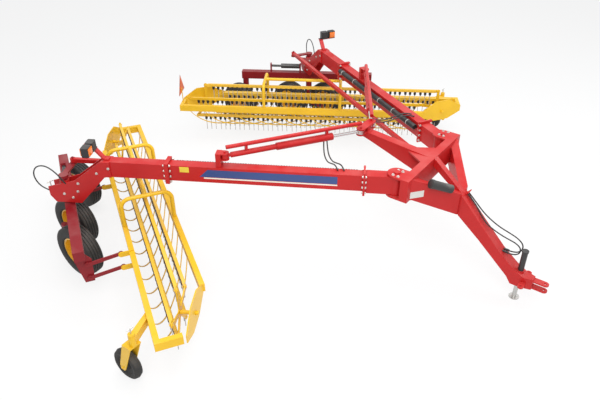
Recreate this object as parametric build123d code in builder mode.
"""Twin basket rake: a drawn hay rake with two swinging wings, each carrying a five-bar reel basket.

Frame: +X is the direction of travel, +Y the left side, +Z up, ground at Z = 0. Places are given from the hub,
with the line of the two wing pivots at PIVOT_X; the finished pieces are moved so that the origin lies below the
middle of the machine. Every wing piece is modelled on the left and mirrored for the right.
"""
from build123d import *
from math import atan2, cos, degrees, hypot, radians, sin
import os

os.makedirs("parts", exist_ok=True)

# Running fits
PIN_FIT = 0.4            # radial gap of a pin in its bore
SIDE_FIT = 5.0           # side gap between pieces that turn past each other
SEAT_GAP = 1.0           # gap of a shoulder that carries a turning piece

# Wing pivots and hub
PIVOT_X = 65.0
PIVOT_Y = 580.0
PIVOT_PIN_R = 38.0
ROOT_BOSS_R = 85.0
HUB_TOP = 1520.0
HUB_BOTTOM = 1240.0
HUB_PLATE = 20.0
HUB_TUBE_X = 165.0
HUB_TUBE_WIDTH = 100.0
HUB_HALF_WIDTH = 690.0

# Wing arm, measured along the arm from its pivot
ARM_ANGLE = 30.0         # between the arm and straight back
ARM_TOP = 1490.0
ARM_HEIGHT = 200.0
ARM_WIDTH = 130.0
ROOT_HEIGHT = 225.0
ROOT_WIDTH = 140.0
INNER_FLANGE = 360.0
OUTER_FLANGE = 2630.0
FLANGE_THICK = 24.0
FLANGE_LIP = 32.0
ARM_BEND = 3420.0
NECK_RUN = 530.0         # from the bend to the kingpin
NECK_DROP = 360.0        # from the bend to the foot of the slope
NECK_TAIL = 180.0        # from the kingpin to the tip
KINGPIN_AT = ARM_BEND + NECK_RUN
NECK_TIP = KINGPIN_AT + NECK_TAIL
NECK_PLATE = 16.0
KINGPIN_R = 40.0
KINGPIN_SLEEVE_R = 58.0

# Basket plan, along the rails (u) and across them (v, towards the wheels)
BASKET_X = -2690.0
BASKET_Y = 1956.0
BASKET_ANGLE = 32.0
RAIL_V = 300.0
RAIL_WIDTH = 60.0
RAIL_HEIGHT = 100.0
RAIL_Z = 660.0
BASKET_HALF = 2350.0
END_FLAT = 280.0
HEAD_ANGLE = 26.0        # between the rails and the plane of a reel head
END_PLATE = 12.0
HOOP_U = (-930.0, 330.0)
HOOP_TOP = 1085.0
HOOP_R = 25.0
HOOP_BEND = 110.0

# Reel
REEL_R = 290.0
REEL_Z = 660.0
REEL_INSET = 155.0       # from the end plate to the head, along the head's shaft
HEAD_THICK = 14.0
HEAD_HUB_R = 62.0
HEAD_ARM_WIDTH = 46.0
HEAD_BOSS_R = 30.0
HEAD_SHAFT_R = 22.0
BAR_COUNT = 5
BAR_START = 18.0         # turn of the first bar from the level, degrees
BAR_WIDTH = 36.0
BAR_HEIGHT = 46.0
BAR_PIN_R = 11.0
TINE_GROUPS = 15
TINES_PER_GROUP = 3
TINE_PITCH = 78.0
TINE_WIDTH = 9.0
TINE_TIP_Z = 105.0       # of a tine at the lowest bar
STRIPPER_THICK = 10.0
STRIPPER_DEPTH = 16.0
STRIPPER_LOW_Z = 252.0

# Carriage under the arm's end
COLUMN_R = 52.0
CARRIAGE_BEAM_Z = 820.0
CARRIAGE_BEAM_HEIGHT = 130.0
CARRIAGE_BEAM_WIDTH = 120.0
CARRIAGE_FRONT = 880.0
CARRIAGE_REAR = -1460.0
REAR_LEG_U = -1400.0
WALKING_HALF = 275.0
WALKING_WIDTH = 80.0
WALKING_HEIGHT = 110.0
WHEEL_SIDE = 180.0       # from the leg to the wheel's centre plane
AXLE_R = 28.0
LIFT_Z = 990.0
LIFT_START = 170.0
LIFT_BARREL = 330.0
LIFT_ROD = 170.0
LIFT_BARREL_R = 42.0
LIFT_ROD_R = 20.0
LIFT_BRACKET = 24.0
LEVER_REACH = 300.0      # kingpin to the steering link's eye, and the same on the hub

# Wheels
TYRE_R = 343.0
TYRE_WIDTH = 205.0
RIM_R = 200.0
RIM_HUB_R = 70.0

# Lift links between carriage and basket
LINK_U = (800.0, -1040.0)
LINK_PLATE = 15.0
LINK_THICK = 16.0
LINK_FOOT_V = 800.0
LINK_HEAD_V = 420.0
LINK_LOW_Z = 450.0
LINK_RISE = 50.0
LINK_SPACING = 190.0
LINK_PIN_R = 15.0
LINK_EYE_R = 32.0

# Gauge wheel at the basket's outer end
GAUGE_R = 185.0
GAUGE_WIDTH = 100.0
GAUGE_FROM_END = 227.0   # from the basket's end to the swivel
GAUGE_SWIVEL_U = BASKET_HALF - GAUGE_FROM_END
GAUGE_SWIVEL_V = 510.0
GAUGE_TRAIL = 160.0
GAUGE_STEM_R = 20.0
GAUGE_ARM_Z = 560.0
GAUGE_ARM_HEIGHT = 120.0

# Swing cylinder
CYL_HUB_X = -690.0
CYL_HUB_Y = 125.0
CYL_ARM_AT = 1950.0
CYL_Z = 1620.0
CYL_BARREL_R = 45.0
CYL_ROD_R = 22.0
CYL_TUBE_R = 33.0
CYL_PIN_R = 14.0
CYL_EYE_R = 50.0
CYL_EYE_BORE = 30.0
CYL_EYE_HEIGHT = 50.0
CYL_CHEEK = 14.0

# Tongue, hitch and jack
TONGUE_WIDTH = 150.0
NOSE_X = 1420.0
NOSE_Z = 300.0
NOSE_HEIGHT = 150.0
CLEVIS_X = 1790.0
CLEVIS_GAP = 75.0
CLEVIS_PLATE = 18.0
CLEVIS_WIDTH = 84.0
CLEVIS_BORE_R = 14.0
JACK_X = 1490.0
JACK_TUBE_R = 34.0
JACK_LEG_R = 26.0
JACK_TOP = 700.0
JACK_FOOT_R = 62.0
JACK_FOOT_THICK = 10.0

# Directions in plan
arm_dir = Vector(-cos(radians(ARM_ANGLE)), sin(radians(ARM_ANGLE)), 0)
arm_side = Vector(sin(radians(ARM_ANGLE)), cos(radians(ARM_ANGLE)), 0)
rail_dir = Vector(cos(radians(BASKET_ANGLE)), sin(radians(BASKET_ANGLE)), 0)
rail_side = Vector(-sin(radians(BASKET_ANGLE)), cos(radians(BASKET_ANGLE)), 0)
head_dir = rail_dir * cos(radians(HEAD_ANGLE)) + rail_side * sin(radians(HEAD_ANGLE))
head_axis = rail_dir * sin(radians(HEAD_ANGLE)) - rail_side * cos(radians(HEAD_ANGLE))
up = Vector(0, 0, 1)

pivot = Vector(PIVOT_X, PIVOT_Y, 0)
kingpin = pivot + arm_dir * KINGPIN_AT
basket = Vector(BASKET_X, BASKET_Y, 0)
carriage_v = (kingpin - basket).dot(rail_side)
kingpin_u = (kingpin - basket).dot(rail_dir)


def on_arm(along, across=0.0, z=0.0):
    """A point given along and across the left arm."""
    return pivot + arm_dir * along + arm_side * across + up * z


def on_basket(u, v, z=0.0):
    """A point given along and across the left basket's rails."""
    return basket + rail_dir * u + rail_side * v + up * z


def arm_plane(across=0.0):
    """Upright plane of the left arm: x along the arm, y up."""
    return Plane(origin=on_arm(0, across), x_dir=arm_dir, z_dir=arm_side)


def basket_plane(z=0.0):
    """Level plane of the left basket: x along the rails, y across them."""
    return Plane(origin=on_basket(0, 0, z), x_dir=rail_dir, z_dir=up)


def cross_plane(u):
    """Upright plane across the left basket: x across the rails, y up."""
    return Plane(origin=on_basket(u, 0), x_dir=rail_side, z_dir=rail_dir)


def head_plane(centre, lift=0.0):
    """Upright plane of a reel head: x along the head, y up, normal along the head's shaft."""
    return Plane(origin=centre + head_axis * lift, x_dir=head_dir, z_dir=head_axis)


finished = []


def keep(part, name):
    """Put a finished piece on the shelf."""
    part.label = name
    finished.append(part)


def keep_pair(part, name):
    """Shelve a left piece and its mirror image for the right."""
    keep(part, f"left_{name}")
    keep(mirror(part, about=Plane.XZ), f"right_{name}")


# Hub: cross tube, pivot clevises, rear arm and the two front legs
REAR_ARM_WIDTH = 110.0
REAR_ARM_END = -745.0
GUSSET_HALF = 210.0
GUSSET_REAR = -70.0
HUB_FRONT = 660.0
LEG_WIDTH = 100.0
leg_start = Vector(215, 590, 0)
leg_end = Vector(650, 40, 0)
leg_run = leg_end - leg_start
LINK_LUG_PLATE = 14.0
link_hub = pivot - arm_side * LEVER_REACH
LINK_Z = 1275.0
LINK_SIZE = 50.0

with BuildPart() as hub:
    with BuildSketch(Plane.XY.offset(HUB_BOTTOM)):
        with Locations((HUB_TUBE_X + HUB_TUBE_WIDTH / 2, 0)):
            Rectangle(HUB_TUBE_WIDTH, 2 * HUB_HALF_WIDTH)
    extrude(amount=HUB_TOP - HUB_BOTTOM)
    for level in (HUB_BOTTOM, HUB_TOP - HUB_PLATE):
        with BuildSketch(Plane.XY.offset(level)):
            with Locations((PIVOT_X, PIVOT_Y), (PIVOT_X, -PIVOT_Y)):
                Circle(ROOT_BOSS_R + 25)
            with Locations((PIVOT_X + 75, PIVOT_Y), (PIVOT_X + 75, -PIVOT_Y)):
                Rectangle(150, 2 * (ROOT_BOSS_R + 25))
        extrude(amount=HUB_PLATE)
    # gusset that spreads the rear arm into the cross tube
    with BuildSketch(Plane.XY.offset(HUB_TOP - HUB_PLATE)):
        with BuildLine():
            Polyline((HUB_TUBE_X + 10, -GUSSET_HALF), (HUB_TUBE_X + 10, GUSSET_HALF), (GUSSET_REAR, REAR_ARM_WIDTH / 2),
                     (GUSSET_REAR, -REAR_ARM_WIDTH / 2), close=True)
        make_face()
    extrude(amount=HUB_PLATE)
    # pivot pins with their cap plates
    with BuildSketch(Plane.XY.offset(HUB_BOTTOM)):
        with Locations((PIVOT_X, PIVOT_Y), (PIVOT_X, -PIVOT_Y)):
            Circle(PIVOT_PIN_R)
    extrude(amount=HUB_TOP - HUB_BOTTOM + 14)
    # tapered rear arm for the swing cylinders
    with BuildSketch(Plane.XZ):
        with BuildLine():
            Polyline((200, HUB_TOP), (REAR_ARM_END, 1600), (REAR_ARM_END, 1535), (-560, 1480),
                     (HUB_TUBE_X - 40, HUB_BOTTOM + 10), (200, HUB_BOTTOM + 10), close=True)
        make_face()
    extrude(amount=REAR_ARM_WIDTH / 2, both=True)
    # cheeks at the rear arm's end, one above and one below each rod eye, and their pins
    for level in (CYL_Z - CYL_EYE_HEIGHT / 2 - SIDE_FIT - CYL_CHEEK, CYL_Z + CYL_EYE_HEIGHT / 2 + SIDE_FIT):
        with BuildSketch(Plane.XY.offset(level)):
            with Locations((CYL_HUB_X, 0)):
                Rectangle(110, 2 * CYL_HUB_Y)
            with Locations((CYL_HUB_X, CYL_HUB_Y), (CYL_HUB_X, -CYL_HUB_Y)):
                Circle(55)
        extrude(amount=CYL_CHEEK)
    with BuildSketch(Plane.XY.offset(CYL_Z - CYL_EYE_HEIGHT / 2 - SIDE_FIT - CYL_CHEEK - 12)):
        with Locations((CYL_HUB_X, CYL_HUB_Y), (CYL_HUB_X, -CYL_HUB_Y)):
            Circle(CYL_PIN_R)
    extrude(amount=CYL_EYE_HEIGHT + 2 * SIDE_FIT + 2 * CYL_CHEEK + 24)
    with BuildSketch(Plane.XZ):
        with Locations((CYL_HUB_X, CYL_Z)):
            Rectangle(90, CYL_EYE_HEIGHT + 2 * SIDE_FIT + CYL_CHEEK)
    extrude(amount=REAR_ARM_WIDTH / 2 - 20, both=True)
    # front legs down to the tongue
    with BuildSketch(Plane(origin=leg_start, x_dir=leg_run, z_dir=leg_run.cross(up))):
        with BuildLine():
            Polyline((-40, HUB_BOTTOM), (-40, HUB_TOP), (0, HUB_TOP), (leg_run.length, 1190),
                     (leg_run.length, 900), (40, HUB_BOTTOM), close=True)
        make_face()
    extrude(amount=LEG_WIDTH / 2, both=True)
    mirror(about=Plane.XZ)
    # centre brace from the cross tube to the tongue
    with BuildSketch(Plane.XZ):
        with BuildLine():
            Polyline((200, HUB_TOP), (260, HUB_TOP), (HUB_FRONT + 20, 1165), (HUB_FRONT + 20, 1090), (240, HUB_TOP - 90), (200, HUB_TOP - 90),
                     close=True)
        make_face()
    extrude(amount=40, both=True)
    # the front ends are cut square for the tongue
    with BuildSketch(Plane.YZ.offset(HUB_FRONT)):
        with Locations((0, 1000)):
            Rectangle(400, 800)
    extrude(amount=200, mode=Mode.SUBTRACT)
    # lugs for the steering links
    for level in (LINK_Z - LINK_SIZE / 2 - SIDE_FIT - LINK_LUG_PLATE, LINK_Z + LINK_SIZE / 2 + SIDE_FIT):
        for side in (1, -1):
            with BuildSketch(Plane.XY.offset(level)):
                with Locations((link_hub.X, side * link_hub.Y)):
                    Circle(38)
                with BuildLine():
                    Polyline((link_hub.X, side * (link_hub.Y - 38)), (link_hub.X, side * (link_hub.Y + 38)),
                             (HUB_TUBE_X + 10, side * (link_hub.Y + 70)), (HUB_TUBE_X + 10, side * (link_hub.Y - 70)),
                             close=True)
                make_face()
            extrude(amount=LINK_LUG_PLATE)
    with BuildSketch(Plane.XY.offset(LINK_Z - LINK_SIZE / 2 - SIDE_FIT - LINK_LUG_PLATE - 8)):
        with Locations((link_hub.X, link_hub.Y), (link_hub.X, -link_hub.Y)):
            Circle(CYL_PIN_R)
    extrude(amount=LINK_SIZE + 2 * SIDE_FIT + 2 * LINK_LUG_PLATE + 16)
keep(hub.part, "hub")

# Tongue with its nose, side lugs, hitch clevis and jack sleeve
with BuildPart() as tongue:
    with BuildSketch(Plane.XZ):
        with BuildLine():
            Polyline((HUB_FRONT, 1185), (950, 880), (1230, 600), (NOSE_X, 450), (JACK_X + 60, NOSE_Z + NOSE_HEIGHT / 2),
                     (JACK_X + 60, NOSE_Z - NOSE_HEIGHT / 2), (NOSE_X, NOSE_Z - NOSE_HEIGHT / 2),
                     (NOSE_X - 60, 310), (960, 660), (HUB_FRONT, 900), close=True)
        make_face()
    extrude(amount=TONGUE_WIDTH / 2, both=True)
    # tapered nose
    with BuildSketch(Plane.XY.offset(NOSE_Z - NOSE_HEIGHT / 2)):
        with BuildLine():
            Polyline((JACK_X + 55, -TONGUE_WIDTH / 2), (JACK_X + 55, TONGUE_WIDTH / 2),
                     (CLEVIS_X - 130, CLEVIS_WIDTH / 2), (CLEVIS_X - 130, -CLEVIS_WIDTH / 2), close=True)
        make_face()
    extrude(amount=NOSE_HEIGHT)
    # clevis plates
    for level in (NOSE_Z - CLEVIS_GAP / 2 - CLEVIS_PLATE, NOSE_Z + CLEVIS_GAP / 2):
        with BuildSketch(Plane.XY.offset(level)):
            with Locations((CLEVIS_X - 75, 0)):
                Rectangle(150, CLEVIS_WIDTH)
            with Locations((CLEVIS_X, 0)):
                Circle(CLEVIS_WIDTH / 2)
                Circle(CLEVIS_BORE_R, mode=Mode.SUBTRACT)
        extrude(amount=CLEVIS_PLATE)
    # side lugs for the safety chains
    with BuildSketch(Plane.XY.offset(NOSE_Z - 12)):
        with Locations((JACK_X + 70, 0)):
            SlotOverall(360, 70, rotation=90)
        with Locations((JACK_X + 70, 150), (JACK_X + 70, -150)):
            Circle(13, mode=Mode.SUBTRACT)
    extrude(amount=24)
    # jack sleeve, bored for the jack's leg
    with BuildSketch(Plane.XY.offset(NOSE_Z - NOSE_HEIGHT / 2 - 15)):
        with Locations((JACK_X, 0)):
            Circle(JACK_TUBE_R + 10)
    extrude(amount=NOSE_HEIGHT + 60)
    with BuildSketch(Plane.XY.offset(NOSE_Z - NOSE_HEIGHT / 2 - 15)):
        with Locations((JACK_X, 0)):
            Circle(JACK_TUBE_R)
    extrude(amount=NOSE_HEIGHT + 260, mode=Mode.SUBTRACT)
keep(tongue.part, "tongue")

# Jack: outer tube fixed in the sleeve, leg with its foot
JACK_TUBE_FOOT = NOSE_Z - NOSE_HEIGHT / 2 - 10
with BuildPart() as jack_tube:
    with BuildSketch(Plane.XY.offset(JACK_TUBE_FOOT)):
        with Locations((JACK_X, 0)):
            Circle(JACK_TUBE_R)
            Circle(JACK_LEG_R + PIN_FIT, mode=Mode.SUBTRACT)
    extrude(amount=JACK_TOP - 20 - JACK_TUBE_FOOT)
    with BuildSketch(Plane.XY.offset(JACK_TOP - 20)):
        with Locations((JACK_X, 0)):
            Circle(JACK_TUBE_R + 6)
    extrude(amount=20)
keep(jack_tube.part, "jack_tube")

with BuildPart() as jack_leg:
    with BuildSketch(Plane.XY):
        with Locations((JACK_X, 0)):
            Circle(JACK_FOOT_R)
    extrude(amount=JACK_FOOT_THICK)
    with BuildSketch(Plane.XY.offset(JACK_FOOT_THICK)):
        with Locations((JACK_X, 0)):
            Circle(JACK_LEG_R)
    extrude(amount=440)
keep(jack_leg.part, "jack_leg")

# Wing arm: root boss, root box, main beam and bolted flanges
root_low = HUB_BOTTOM + HUB_PLATE + SEAT_GAP
root_high = HUB_TOP - HUB_PLATE - SEAT_GAP
arm_mid = ARM_TOP - ARM_HEIGHT / 2
with BuildPart() as arm:
    with BuildSketch(Plane.XY.offset(root_low)):
        with Locations((PIVOT_X, PIVOT_Y)):
            Circle(ROOT_BOSS_R)
    extrude(amount=root_high - root_low)
    with BuildSketch(arm_plane()):
        with BuildLine():
            Polyline((0, ARM_TOP + 5), (INNER_FLANGE, ARM_TOP + 5), (INNER_FLANGE, ARM_TOP + 5 - ROOT_HEIGHT),
                     (0, ARM_TOP + 5 - ROOT_HEIGHT), close=True)
        make_face()
    extrude(amount=ROOT_WIDTH / 2, both=True)
    with BuildSketch(arm_plane()):
        with BuildLine():
            Polyline((INNER_FLANGE, ARM_TOP), (OUTER_FLANGE, ARM_TOP), (OUTER_FLANGE, ARM_TOP - ARM_HEIGHT),
                     (INNER_FLANGE, ARM_TOP - ARM_HEIGHT), close=True)
        make_face()
    extrude(amount=ARM_WIDTH / 2, both=True)
    for at, tall in ((INNER_FLANGE, ROOT_HEIGHT), (OUTER_FLANGE - FLANGE_THICK / 2, ARM_HEIGHT)):
        with BuildSketch(Plane(origin=on_arm(at, 0, arm_mid), x_dir=arm_side, z_dir=arm_dir)):
            Rectangle(ARM_WIDTH + 2 * FLANGE_LIP, tall + 2 * FLANGE_LIP)
        extrude(amount=FLANGE_THICK / 2, both=True)
    with BuildSketch(Plane.XY.offset(root_low)):
        with Locations((PIVOT_X, PIVOT_Y)):
            Circle(PIVOT_PIN_R + PIN_FIT)
    extrude(amount=root_high - root_low, mode=Mode.SUBTRACT)
    # bracket for the swing cylinder: a post on the arm with two cheeks
    with BuildSketch(Plane(origin=on_arm(CYL_ARM_AT + 70, 0, ARM_TOP), x_dir=arm_dir, z_dir=up)):
        Rectangle(60, ARM_WIDTH - 20)
    extrude(amount=CYL_Z + CYL_EYE_HEIGHT / 2 + SIDE_FIT + CYL_CHEEK - ARM_TOP)
    for level in (CYL_Z - CYL_EYE_HEIGHT / 2 - SIDE_FIT - CYL_CHEEK, CYL_Z + CYL_EYE_HEIGHT / 2 + SIDE_FIT):
        with BuildSketch(Plane(origin=on_arm(CYL_ARM_AT, 0, level), x_dir=arm_dir, z_dir=up)):
            Circle(50)
            with Locations((40, 0)):
                Rectangle(80, 100)
        extrude(amount=CYL_CHEEK)
    with BuildSketch(Plane(origin=on_arm(CYL_ARM_AT, 0, CYL_Z - CYL_EYE_HEIGHT / 2 - SIDE_FIT - CYL_CHEEK - 10),
                           x_dir=arm_dir, z_dir=up)):
        Circle(CYL_PIN_R)
    extrude(amount=CYL_EYE_HEIGHT + 2 * SIDE_FIT + 2 * CYL_CHEEK + 20)
keep_pair(arm.part, "arm")

# Outer arm and gooseneck: the beam's end, two bent side plates and the kingpin sleeve
NECK_LOW = 900.0
SLEEVE_LOW = NECK_LOW
SLEEVE_HIGH = 1180.0
with BuildPart() as gooseneck:
    with BuildSketch(Plane(origin=on_arm(OUTER_FLANGE + FLANGE_THICK / 2, 0, arm_mid), x_dir=arm_side, z_dir=arm_dir)):
        Rectangle(ARM_WIDTH + 2 * FLANGE_LIP, ARM_HEIGHT + 2 * FLANGE_LIP)
    extrude(amount=FLANGE_THICK / 2, both=True)
    with BuildSketch(arm_plane()):
        with BuildLine():
            Polyline((OUTER_FLANGE, ARM_TOP), (ARM_BEND, ARM_TOP), (ARM_BEND - 40, ARM_TOP - ARM_HEIGHT),
                     (OUTER_FLANGE, ARM_TOP - ARM_HEIGHT), close=True)
        make_face()
    extrude(amount=ARM_WIDTH / 2, both=True)
    for across in (ARM_WIDTH / 2 + NECK_PLATE / 2, -ARM_WIDTH / 2 - NECK_PLATE / 2):
        with BuildSketch(arm_plane(across)):
            with BuildLine():
                Polyline((ARM_BEND - 110, ARM_TOP), (ARM_BEND, ARM_TOP), (ARM_BEND + NECK_DROP, 1215), (NECK_TIP, 1110), (NECK_TIP, 990),
                         (NECK_TIP - 60, NECK_LOW), (ARM_BEND + NECK_DROP - 30, NECK_LOW), (ARM_BEND - 30, ARM_TOP - ARM_HEIGHT),
                         (ARM_BEND - 110, ARM_TOP - ARM_HEIGHT), close=True)
            make_face()
        extrude(amount=NECK_PLATE / 2, both=True)
    # kingpin sleeve on its cross plate
    with BuildSketch(Plane(origin=on_arm(KINGPIN_AT, 0, SLEEVE_LOW), x_dir=arm_dir, z_dir=up)):
        Circle(KINGPIN_SLEEVE_R)
    extrude(amount=SLEEVE_HIGH - SLEEVE_LOW)
    with BuildSketch(Plane(origin=on_arm(KINGPIN_AT, 0, SLEEVE_LOW + 20), x_dir=arm_dir, z_dir=up)):
        Rectangle(220, ARM_WIDTH)
    extrude(amount=20)
    with BuildSketch(Plane(origin=on_arm(KINGPIN_AT, 0, SLEEVE_LOW), x_dir=arm_dir, z_dir=up)):
        Circle(KINGPIN_R + PIN_FIT)
    extrude(amount=SLEEVE_HIGH - SLEEVE_LOW, mode=Mode.SUBTRACT)
keep_pair(gooseneck.part, "gooseneck")

# Lamp bracket on the arm's end, with the tail lamp and the amber lamp
with BuildPart() as lamp_bracket:
    with BuildSketch(arm_plane()):
        with BuildLine():
            Polyline((ARM_BEND - 90, ARM_TOP), (ARM_BEND - 30, ARM_TOP), (ARM_BEND + 80, 1630),
                     (ARM_BEND + 80, 1650), (ARM_BEND + 60, 1650), (ARM_BEND - 45, ARM_TOP + 16),
                     (ARM_BEND - 90, ARM_TOP + 16), close=True)
        make_face()
    extrude(amount=30, both=True)
    with BuildSketch(Plane(origin=on_arm(ARM_BEND + 70, 110, 1630), x_dir=arm_dir, z_dir=up)):
        Rectangle(60, 280)
    extrude(amount=12)
    for across in (60, 190):
        with BuildSketch(Plane(origin=on_arm(ARM_BEND + 70, across, 1642), x_dir=arm_dir, z_dir=up)):
            RectangleRounded(90, 110, 14)
        extrude(amount=110)
keep_pair(lamp_bracket.part, "lamp_bracket")

# Hose bundle clipped to the inner side of each arm
HOSE_BUNDLE_R = 38.0
with BuildPart() as arm_hoses:
    with BuildSketch(Plane(origin=on_arm(430, -ARM_WIDTH / 2 - HOSE_BUNDLE_R - 0.3, ARM_TOP - 60), x_dir=arm_side,
                           z_dir=arm_dir)):
        Circle(HOSE_BUNDLE_R)
    extrude(amount=OUTER_FLANGE - 430 - 60)
keep_pair(arm_hoses.part, "arm_hoses")

# Swing cylinder: barrel with its extension tube and guide channel on the arm, rod towards the hub
cyl_arm = on_arm(CYL_ARM_AT, 0, CYL_Z)
cyl_hub = Vector(CYL_HUB_X, CYL_HUB_Y, CYL_Z)
cyl_run = cyl_hub - cyl_arm
cyl_dir = cyl_run.normalized()
CYL_EXTENSION = 620.0
CYL_BARREL_END = 1330.0
with BuildPart() as swing_barrel:
    with BuildSketch(Plane(origin=cyl_arm - up * CYL_EYE_HEIGHT / 2, x_dir=cyl_dir, z_dir=up)):
        Circle(CYL_EYE_R - 10)
        Circle(CYL_PIN_R + PIN_FIT, mode=Mode.SUBTRACT)
    extrude(amount=CYL_EYE_HEIGHT)
    with BuildSketch(Plane(origin=cyl_arm + cyl_dir * (CYL_EYE_R - 14), x_dir=up, z_dir=cyl_dir)):
        Circle(CYL_EYE_HEIGHT / 2 - 4)
    extrude(amount=60)
    with BuildSketch(Plane(origin=cyl_arm + cyl_dir * 70, x_dir=up, z_dir=cyl_dir)):
        Circle(CYL_TUBE_R)
    extrude(amount=CYL_EXTENSION - 70)
    with BuildSketch(Plane(origin=cyl_arm + cyl_dir * CYL_EXTENSION, x_dir=up, z_dir=cyl_dir)):
        Circle(CYL_BARREL_R)
        Circle(CYL_ROD_R + PIN_FIT, mode=Mode.SUBTRACT)
    extrude(amount=CYL_BARREL_END - CYL_EXTENSION)
keep_pair(swing_barrel.part, "swing_barrel")

with BuildPart() as swing_rod:
    with BuildSketch(Plane(origin=cyl_hub - up * CYL_EYE_HEIGHT / 2, x_dir=cyl_dir, z_dir=up)):
        Circle(CYL_EYE_R)
    extrude(amount=CYL_EYE_HEIGHT)
    with BuildSketch(Plane(origin=cyl_hub - cyl_dir * (CYL_EYE_R - 8), x_dir=up, z_dir=-cyl_dir)):
        Circle(CYL_ROD_R)
    extrude(amount=cyl_run.length - CYL_EXTENSION - CYL_EYE_R - 80)
    with BuildSketch(Plane(origin=cyl_hub - up * CYL_EYE_HEIGHT / 2, x_dir=cyl_dir, z_dir=up)):
        Circle(CYL_EYE_BORE)
    extrude(amount=CYL_EYE_HEIGHT, mode=Mode.SUBTRACT)
keep_pair(swing_rod.part, "swing_rod")

# Steering link from the hub to the carriage lever, parallel to the arm
link_far = kingpin - arm_side * LEVER_REACH
with BuildPart() as steering_link:
    with BuildSketch(Plane(origin=link_hub + up * (LINK_Z - LINK_SIZE / 2), x_dir=arm_dir, z_dir=up)):
        with Locations((0, 0), (KINGPIN_AT, 0)):
            Circle(34)
        with Locations((KINGPIN_AT / 2, 0)):
            Rectangle(KINGPIN_AT, LINK_SIZE)
        with Locations((0, 0), (KINGPIN_AT, 0)):
            Circle(CYL_PIN_R + PIN_FIT, mode=Mode.SUBTRACT)
    extrude(amount=LINK_SIZE)
keep_pair(steering_link.part, "steering_link")

# Carriage: kingpin column, beam along the basket, link plates, walking beam and axles
leg_rear = on_basket(REAR_LEG_U, carriage_v)
beam_low = CARRIAGE_BEAM_Z - CARRIAGE_BEAM_HEIGHT / 2
wheel_table = (            # name, centre in plan, side of its leg
    ("front", kingpin + Vector(WALKING_HALF, WHEEL_SIDE, 0), 1),
    ("middle", kingpin + Vector(-WALKING_HALF, -WHEEL_SIDE, 0), -1),
    ("rear", leg_rear + Vector(0, -WHEEL_SIDE, 0), -1),
)
with BuildPart() as carriage:
    with BuildSketch(Plane(origin=kingpin + up * (TYRE_R - 60), x_dir=rail_dir, z_dir=up)):
        Circle(COLUMN_R)
    extrude(amount=NECK_LOW - SEAT_GAP - TYRE_R + 60)
    with BuildSketch(Plane(origin=kingpin + up * TYRE_R, x_dir=rail_dir, z_dir=up)):
        Circle(KINGPIN_R)
    extrude(amount=SLEEVE_HIGH + 30 - TYRE_R)
    with BuildSketch(Plane(origin=kingpin + up * (SLEEVE_HIGH + 30), x_dir=rail_dir, z_dir=up)):
        Circle(KINGPIN_SLEEVE_R)
    extrude(amount=16)
    # steering lever with its pin
    lever_top = LINK_Z - LINK_SIZE / 2 - SIDE_FIT
    with BuildSketch(Plane(origin=kingpin + up * (lever_top - 24), x_dir=-arm_side, z_dir=up)):
        Circle(KINGPIN_SLEEVE_R)
        with Locations((LEVER_REACH / 2, 0)):
            Rectangle(LEVER_REACH, 70)
        with Locations((LEVER_REACH, 0)):
            Circle(40)
    extrude(amount=24)
    with BuildSketch(Plane(origin=link_far + up * (lever_top - 24), x_dir=arm_dir, z_dir=up)):
        Circle(CYL_PIN_R)
    extrude(amount=24 + LINK_SIZE + 2 * SIDE_FIT + 12)
    # beam
    with BuildSketch(basket_plane(beam_low)):
        with Locations(((CARRIAGE_FRONT + CARRIAGE_REAR) / 2, carriage_v)):
            Rectangle(CARRIAGE_FRONT - CARRIAGE_REAR, CARRIAGE_BEAM_WIDTH)
    extrude(amount=CARRIAGE_BEAM_HEIGHT)
    # brackets of the lift cylinder
    for u, width in ((kingpin_u - LIFT_START + LIFT_BRACKET, 90), (kingpin_u - LIFT_START - LIFT_BARREL - LIFT_ROD, 70)):
        with BuildSketch(cross_plane(u)):
            with BuildLine():
                Polyline((carriage_v - width / 2, beam_low + 60), (carriage_v + width / 2, beam_low + 60),
                         (carriage_v + 30, LIFT_Z + 45), (carriage_v - 30, LIFT_Z + 45), close=True)
            make_face()
        extrude(amount=-LIFT_BRACKET)
    # rear leg
    with BuildSketch(Plane(origin=leg_rear + up * (TYRE_R - 60), x_dir=rail_dir, z_dir=up)):
        Circle(COLUMN_R)
    extrude(amount=beam_low - TYRE_R + 70)
    # walking beam
    with BuildSketch(Plane(origin=kingpin + up * (TYRE_R - WALKING_HEIGHT / 2), x_dir=(1, 0, 0), z_dir=up)):
        SlotCenterToCenter(2 * WALKING_HALF, WALKING_WIDTH)
    extrude(amount=WALKING_HEIGHT)
    # stub axles
    for name, centre, side in wheel_table:
        with BuildSketch(Plane(origin=centre + up * TYRE_R, x_dir=(1, 0, 0), z_dir=(0, side, 0))):
            Circle(AXLE_R)
        extrude(amount=40)
        with BuildSketch(Plane(origin=centre + up * TYRE_R, x_dir=(1, 0, 0), z_dir=(0, side, 0))):
            Circle(AXLE_R)
        extrude(amount=-WHEEL_SIDE)
    # plates that hang from the beam and carry the lift links
    for u in LINK_U:
        with BuildSketch(cross_plane(u)):
            with BuildLine():
                Polyline((carriage_v - 60, beam_low + 20), (carriage_v + 60, beam_low + 20), (carriage_v + 60, beam_low - 60),
                         (LINK_FOOT_V + 60, LINK_LOW_Z - 60), (LINK_FOOT_V - 45, LINK_LOW_Z - 60),
                         (LINK_FOOT_V - 60, beam_low - 60), close=True)
            make_face()
        extrude(amount=-LINK_PLATE)
        for z in (LINK_LOW_Z, LINK_LOW_Z + LINK_SPACING):
            with BuildSketch(cross_plane(u - LINK_PLATE)):
                with Locations((LINK_FOOT_V, z)):
                    Circle(LINK_PIN_R)
            extrude(amount=LINK_PLATE + LINK_THICK + 2 * SIDE_FIT)
keep_pair(carriage.part, "carriage")

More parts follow.
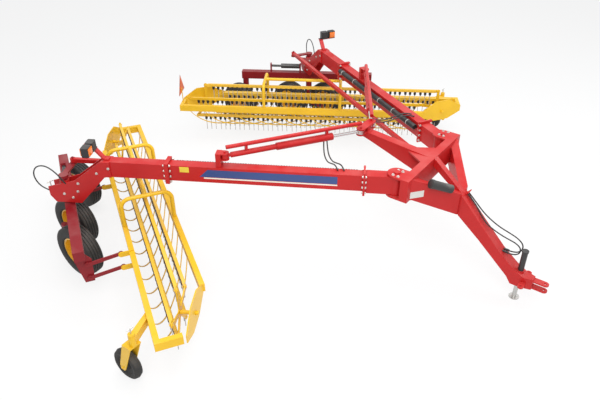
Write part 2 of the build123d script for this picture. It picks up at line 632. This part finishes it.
# Lift cylinder lying on the carriage beam, between its two brackets
lift_u = kingpin_u - LIFT_START
with BuildPart() as lift_cylinder:
    with BuildSketch(cross_plane(lift_u)):
        with Locations((carriage_v, LIFT_Z)):
            Circle(LIFT_BARREL_R)
    extrude(amount=-LIFT_BARREL)
    with BuildSketch(cross_plane(lift_u - LIFT_BARREL)):
        with Locations((carriage_v, LIFT_Z)):
            Circle(LIFT_ROD_R)
    extrude(amount=-LIFT_ROD)
keep_pair(lift_cylinder.part, "lift_cylinder")

# Wheels: a tyre and a dished rim for each, turned about the axle
for name, centre, side in wheel_table:
    axle = Plane(origin=centre + up * TYRE_R, x_dir=(1, 0, 0), z_dir=(0, side, 0))
    with BuildPart() as tyre:
        with BuildSketch(Plane(origin=axle.origin, x_dir=(1, 0, 0), z_dir=(0, 0, -side))):
            with BuildLine():
                Polyline((RIM_R, -TYRE_WIDTH / 2 + 30), (RIM_R + 20, -TYRE_WIDTH / 2 + 6), (RIM_R + 65, -TYRE_WIDTH / 2),
                         (TYRE_R - 30, -TYRE_WIDTH / 2 + 8), (TYRE_R - 6, -TYRE_WIDTH / 2 + 30), (TYRE_R, 0),
                         (TYRE_R - 6, TYRE_WIDTH / 2 - 30), (TYRE_R - 30, TYRE_WIDTH / 2 - 8),
                         (RIM_R + 65, TYRE_WIDTH / 2), (RIM_R + 20, TYRE_WIDTH / 2 - 6), (RIM_R, TYRE_WIDTH / 2 - 30),
                         close=True)
            make_face()
        revolve(axis=Axis(axle.origin, (0, 1, 0)))
    keep_pair(tyre.part, f"tyre_{name}")
    with BuildPart() as rim:
        with BuildSketch(Plane(origin=axle.origin, x_dir=(1, 0, 0), z_dir=(0, 0, -side))):
            with BuildLine():
                Polyline((AXLE_R + PIN_FIT, -50), (RIM_HUB_R, -50), (RIM_HUB_R, 14), (RIM_R - 60, 34), (RIM_R - 30, 10),
                         (RIM_R - 18, -TYRE_WIDTH / 2 + 24), (RIM_R, -TYRE_WIDTH / 2 + 24), (RIM_R, TYRE_WIDTH / 2 - 24),
                         (RIM_R - 12, TYRE_WIDTH / 2 - 24), (RIM_R - 18, 24), (RIM_R - 55, 48), (RIM_HUB_R, 30),
                         (RIM_HUB_R - 10, 60), (AXLE_R + PIN_FIT, 60), close=True)
            make_face()
        revolve(axis=Axis(axle.origin, (0, 1, 0)))
    keep_pair(rim.part, f"rim_{name}")

# Lift links, a lower and an upper pair
link_reach = LINK_HEAD_V - LINK_FOOT_V
for name, z in (("lower_links", LINK_LOW_Z), ("upper_links", LINK_LOW_Z + LINK_SPACING)):
    with BuildPart() as lift_link:
        for u in LINK_U:
            with BuildSketch(cross_plane(u + SIDE_FIT)):
                with Locations((LINK_FOOT_V, z), (LINK_HEAD_V, z + LINK_RISE)):
                    Circle(LINK_EYE_R)
                with Locations((LINK_FOOT_V + link_reach / 2, z + LINK_RISE / 2)):
                    Rectangle(hypot(link_reach, LINK_RISE), 44, rotation=degrees(atan2(LINK_RISE, link_reach)))
                with Locations((LINK_FOOT_V, z), (LINK_HEAD_V, z + LINK_RISE)):
                    Circle(LINK_PIN_R + PIN_FIT, mode=Mode.SUBTRACT)
            extrude(amount=LINK_THICK)
    keep_pair(lift_link.part, name)

# Basket frame: rails, end flats, head plates, hoops, strippers, link lugs and the gauge wheel's arm
sin_h = sin(radians(HEAD_ANGLE))
cos_h = cos(radians(HEAD_ANGLE))
DIAGONAL_U = BASKET_HALF - (2 * RAIL_V - END_FLAT) * cos_h / sin_h
plate_u = BASKET_HALF - (RAIL_V - END_FLAT) * cos_h / sin_h     # where an end plate crosses the centre line
head_u = plate_u - REEL_INSET / sin_h
tine_bar_half = head_u
link_z = LINK_LOW_Z + LINK_RISE
group_pitch = 2 * (head_u - 90) / TINE_GROUPS
TINE_LENGTH = REEL_Z - REEL_R - TINE_TIP_Z
with BuildPart() as basket_frame:
    for end in (1, -1):
        # a rail with its end flat and diagonal, each turned half a circle from the other
        with BuildSketch(basket_plane(RAIL_Z - RAIL_HEIGHT / 2)):
            with BuildLine():
                Polyline((-end * BASKET_HALF, -end * (RAIL_V + RAIL_WIDTH / 2)),
                         (end * DIAGONAL_U, -end * (RAIL_V + RAIL_WIDTH / 2)),
                         (end * DIAGONAL_U, -end * (RAIL_V - RAIL_WIDTH / 2)),
                         (-end * BASKET_HALF, -end * (RAIL_V - RAIL_WIDTH / 2)), close=True)
            make_face()
            with Locations((end * (BASKET_HALF - RAIL_WIDTH / 2), end * (RAIL_V + RAIL_WIDTH / 2 - END_FLAT / 2))):
                Rectangle(RAIL_WIDTH, END_FLAT)
        extrude(amount=RAIL_HEIGHT)
        # plate that carries the reel head
        plate_at = on_basket(end * plate_u, 0, REEL_Z)
        run = (2 * RAIL_V - END_FLAT) / sin_h
        near = RAIL_V / sin_h
        shaft_x = REEL_INSET * cos_h / sin_h      # where the head's shaft crosses the plate
        with BuildSketch(head_plane(plate_at)):
            with BuildLine():
                Polyline((-end * near, -60), (-end * near, 60), (-end * (shaft_x + 130), 190), (-end * (shaft_x - 130), 190),
                         (end * (run - near), 50), (end * (run - near), -50), (-end * (shaft_x - 130), -150),
                         (-end * (shaft_x + 130), -150), close=True)
            make_face()
            with Locations((-end * shaft_x, 0)):
                Circle(HEAD_SHAFT_R + PIN_FIT, mode=Mode.SUBTRACT)
        extrude(amount=END_PLATE / 2, both=True)
    # hoops
    for u in HOOP_U:
        with BuildLine(cross_plane(u)) as hoop_path:
            FilletPolyline((-RAIL_V, RAIL_Z + 20), (-RAIL_V, HOOP_TOP), (RAIL_V, HOOP_TOP), (RAIL_V, RAIL_Z + 20),
                           radius=HOOP_BEND)
        with BuildSketch(basket_plane(RAIL_Z + 20)):
            with Locations((u, -RAIL_V)):
                Circle(HOOP_R)
        sweep(path=hoop_path.line)
    with BuildSketch(Plane(origin=on_basket(HOOP_U[0], 0, HOOP_TOP), x_dir=rail_side, z_dir=rail_dir)):
        Circle(HOOP_R)
    extrude(amount=HOOP_U[1] - HOOP_U[0])
    # lugs for the lift links
    for u in LINK_U:
        for z in (link_z, link_z + LINK_SPACING):
            with BuildSketch(cross_plane(u + 2 * SIDE_FIT + LINK_THICK)):
                with Locations((LINK_HEAD_V, z)):
                    Circle(LINK_EYE_R)
                with Locations(((LINK_HEAD_V + RAIL_V) / 2, z)):
                    Rectangle(LINK_HEAD_V - RAIL_V, 2 * LINK_EYE_R)
            extrude(amount=LINK_PLATE)
            with BuildSketch(cross_plane(u + 2 * SIDE_FIT + LINK_THICK)):
                with Locations((LINK_HEAD_V, z)):
                    Circle(LINK_PIN_R)
            extrude(amount=-LINK_THICK - 2 * SIDE_FIT + 1)
        with BuildSketch(cross_plane(u + 2 * SIDE_FIT + LINK_THICK)):
            with Locations((RAIL_V, link_z + LINK_SPACING / 2)):
                Rectangle(40, LINK_SPACING + 2 * LINK_EYE_R)
        extrude(amount=LINK_PLATE)
    # arm of the gauge wheel with its stem socket
    with BuildSketch(basket_plane(GAUGE_ARM_Z)):
        with BuildLine():
            Polyline((GAUGE_SWIVEL_U - 330, RAIL_V), (GAUGE_SWIVEL_U - 240, RAIL_V), (GAUGE_SWIVEL_U + 20, GAUGE_SWIVEL_V - 20),
                     (GAUGE_SWIVEL_U - 30, GAUGE_SWIVEL_V + 30), close=True)
        make_face()
    extrude(amount=GAUGE_ARM_HEIGHT - 20)
    with BuildSketch(basket_plane(GAUGE_ARM_Z)):
        with Locations((GAUGE_SWIVEL_U, GAUGE_SWIVEL_V)):
            Circle(GAUGE_STEM_R + 16)
    extrude(amount=GAUGE_ARM_HEIGHT)
    with BuildSketch(basket_plane(GAUGE_ARM_Z)):
        with Locations((GAUGE_SWIVEL_U, GAUGE_SWIVEL_V)):
            Circle(GAUGE_STEM_R + PIN_FIT)
    extrude(amount=GAUGE_ARM_HEIGHT, mode=Mode.SUBTRACT)
    # strippers: bowed straps between the tine groups, each in a plane of the heads
    bow_half = RAIL_V / sin_h
    for k in range(TINE_GROUPS - 1):
        strap_u = (k + 1 - TINE_GROUPS / 2) * group_pitch
        with BuildSketch(head_plane(on_basket(strap_u, 0))):
            with BuildLine():
                ThreePointArc((-bow_half, RAIL_Z), (0, STRIPPER_LOW_Z), (bow_half, RAIL_Z))
                Line((bow_half, RAIL_Z), (bow_half, RAIL_Z + STRIPPER_DEPTH))
                ThreePointArc((bow_half, RAIL_Z + STRIPPER_DEPTH), (0, STRIPPER_LOW_Z + STRIPPER_DEPTH),
                              (-bow_half, RAIL_Z + STRIPPER_DEPTH))
                Line((-bow_half, RAIL_Z + STRIPPER_DEPTH), (-bow_half, RAIL_Z))
            make_face()
        extrude(amount=STRIPPER_THICK / 2, both=True)
keep_pair(basket_frame.part, "basket_frame")

# Reel heads: a five-armed spider on a short shaft at each end
for name, end in (("head_front", 1), ("head_rear", -1)):
    centre = on_basket(end * head_u, 0, REEL_Z)
    with BuildPart() as head:
        with BuildSketch(head_plane(centre)):
            Circle(HEAD_HUB_R)
            with PolarLocations(REEL_R / 2, BAR_COUNT, start_angle=BAR_START):
                Rectangle(REEL_R, HEAD_ARM_WIDTH)
            with PolarLocations(REEL_R, BAR_COUNT, start_angle=BAR_START):
                Circle(HEAD_BOSS_R)
            with PolarLocations(REEL_R, BAR_COUNT, start_angle=BAR_START):
                Circle(BAR_PIN_R + PIN_FIT, mode=Mode.SUBTRACT)
        extrude(amount=HEAD_THICK / 2, both=True)
        with BuildSketch(head_plane(centre)):
            Circle(HEAD_SHAFT_R)
        extrude(amount=end * (REEL_INSET + 40))
    keep_pair(head.part, name)

# Tine bars: each keeps upright while its ends circle with the heads
bar_gap = HEAD_THICK / 2 + SIDE_FIT
for k in range(BAR_COUNT):
    turn = radians(BAR_START + k * 360 / BAR_COUNT)
    offset = head_dir * (REEL_R * cos(turn)) + up * (REEL_Z + REEL_R * sin(turn))
    with BuildPart() as tine_bar:
        half = BAR_WIDTH / 2
        with BuildSketch(Plane(origin=basket + offset - up * BAR_HEIGHT / 2, x_dir=rail_dir, z_dir=up)):
            with BuildLine():
                Polyline((tine_bar_half - (bar_gap - half * cos_h) / sin_h, half),
                         (tine_bar_half - (bar_gap + half * cos_h) / sin_h, -half),
                         (-tine_bar_half + (bar_gap - half * cos_h) / sin_h, -half),
                         (-tine_bar_half + (bar_gap + half * cos_h) / sin_h, half), close=True)
            make_face()
        extrude(amount=BAR_HEIGHT)
        # comb of tines hanging from the bar
        with BuildSketch(Plane(origin=basket + offset, x_dir=rail_dir, z_dir=-rail_side)):
            with Locations((0, -TINE_LENGTH / 2)):
                with GridLocations(group_pitch, 1, TINE_GROUPS, 1):
                    with GridLocations(TINE_PITCH, 1, TINES_PER_GROUP, 1):
                        Rectangle(TINE_WIDTH, TINE_LENGTH)
        extrude(amount=TINE_WIDTH / 2, both=True)
        # pins into the heads
        for end in (1, -1):
            pin_at = basket + offset + rail_dir * (end * tine_bar_half)
            with BuildSketch(head_plane(pin_at, -end * (bar_gap + 16))):
                Circle(BAR_PIN_R)
            extrude(amount=end * (bar_gap + 16 + HEAD_THICK / 2 + 8))
    keep_pair(tine_bar.part, f"tine_bar_{k + 1}")

# Gauge wheel: trailing fork with its stem, and the wheel
gauge_stem = on_basket(GAUGE_SWIVEL_U, GAUGE_SWIVEL_V)
gauge_axle = gauge_stem + Vector(-GAUGE_TRAIL, 0, GAUGE_R)
GAUGE_CHEEK = 10.0
with BuildPart() as gauge_fork:
    with BuildSketch(Plane(origin=gauge_stem + up * (GAUGE_ARM_Z - SEAT_GAP), x_dir=(1, 0, 0), z_dir=up)):
        Circle(GAUGE_STEM_R)
    extrude(amount=GAUGE_ARM_HEIGHT + 30)
    with BuildSketch(Plane(origin=gauge_stem + up * (GAUGE_ARM_Z + GAUGE_ARM_HEIGHT + SEAT_GAP), x_dir=(1, 0, 0), z_dir=up)):
        Circle(GAUGE_STEM_R + 14)
    extrude(amount=28)
    with BuildSketch(Plane(origin=gauge_stem + up * (GAUGE_ARM_Z - SEAT_GAP), x_dir=(1, 0, 0), z_dir=up)):
        with Locations((-30, 0)):
            Rectangle(120, GAUGE_WIDTH + 2 * SIDE_FIT + 2 * GAUGE_CHEEK + 10)
    extrude(amount=-16)
    for side in (1, -1):
        inner = side * (GAUGE_WIDTH / 2 + SIDE_FIT + 5)
        with BuildSketch(Plane(origin=gauge_stem + Vector(0, inner, 0), x_dir=(1, 0, 0), z_dir=(0, -1, 0))):
            with BuildLine():
                Polyline((-90, GAUGE_ARM_Z - SEAT_GAP - 8), (30, GAUGE_ARM_Z - SEAT_GAP - 8), (-GAUGE_TRAIL + 40, GAUGE_R - 10),
                         (-GAUGE_TRAIL + 20, GAUGE_R - 36), (-GAUGE_TRAIL - 36, GAUGE_R - 36),
                         (-GAUGE_TRAIL - 36, GAUGE_R + 30), close=True)
            make_face()
        extrude(amount=-side * GAUGE_CHEEK)
    with BuildSketch(Plane(origin=gauge_axle, x_dir=(1, 0, 0), z_dir=(0, 1, 0))):
        Circle(12)
    extrude(amount=GAUGE_WIDTH / 2 + SIDE_FIT + 5 + GAUGE_CHEEK + 12, both=True)
keep_pair(gauge_fork.part, "gauge_fork")

with BuildPart() as gauge_wheel:
    with BuildSketch(Plane(origin=gauge_axle, x_dir=(1, 0, 0), z_dir=(0, 0, 1))):
        with BuildLine():
            Polyline((12 + PIN_FIT, -GAUGE_WIDTH / 2), (45, -GAUGE_WIDTH / 2), (60, -20), (105, -30), (120, -GAUGE_WIDTH / 2 + 8),
                     (GAUGE_R - 35, -GAUGE_WIDTH / 2), (GAUGE_R - 12, -GAUGE_WIDTH / 2 + 14), (GAUGE_R, 0),
                     (GAUGE_R - 12, GAUGE_WIDTH / 2 - 14), (GAUGE_R - 35, GAUGE_WIDTH / 2), (120, GAUGE_WIDTH / 2 - 8), (105, 30), (60, 20),
                     (45, GAUGE_WIDTH / 2), (12 + PIN_FIT, GAUGE_WIDTH / 2), close=True)
        make_face()
    revolve(axis=Axis(gauge_axle, (0, 1, 0)))
keep_pair(gauge_wheel.part, "gauge_wheel")

# The origin goes to the ground below the middle of the whole machine
boxes = [piece.bounding_box() for piece in finished]
middle_x = (min(box.min.X for box in boxes) + max(box.max.X for box in boxes)) / 2
for piece in finished:
    placed = Pos(-middle_x, 0, 0) * piece
    placed.label = piece.label
    export_step(placed, f"parts/{piece.label}.step")
print("middle of the machine at X", middle_x)
